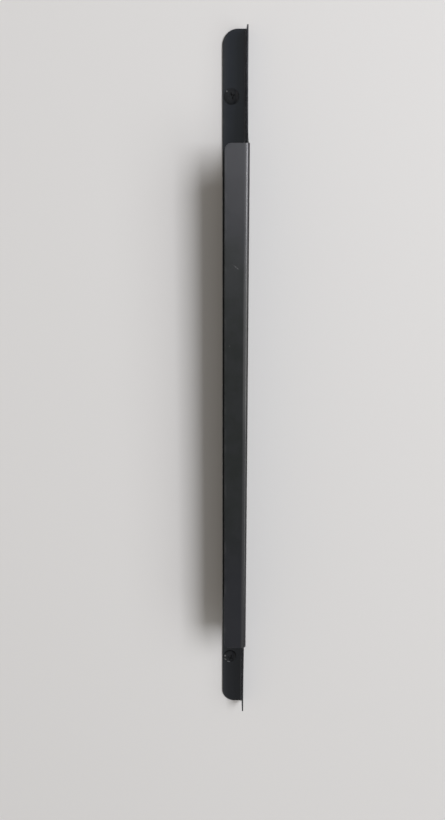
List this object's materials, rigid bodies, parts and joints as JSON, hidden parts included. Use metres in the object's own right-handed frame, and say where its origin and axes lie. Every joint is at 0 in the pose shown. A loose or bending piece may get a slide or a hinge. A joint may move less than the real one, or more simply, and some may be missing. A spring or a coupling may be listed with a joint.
{
  "type": "cabinet handle",
  "caption": "Long edge pull folded from black sheet metal: a flange screwed to the door, a web with lowered ends, and a lip folded back over the flange.",
  "frame": {"origin": "on the back face of the flange, midway between the centres of the two screw holes", "axes": "+Z along the handle, +Y into the door, +X towards the web; the handle stands out of the door towards -Y"},
  "size_m": [0.016, 0.054, 0.5],
  "materials": {
    "black_coat": "satin powder coat",
    "black_screw": "black, slightly glossy"
  },
  "bodies": {
    "root": {"folded_handle": "black_coat", "mounting_screws": "black_screw"}
  },
  "joints": []
}
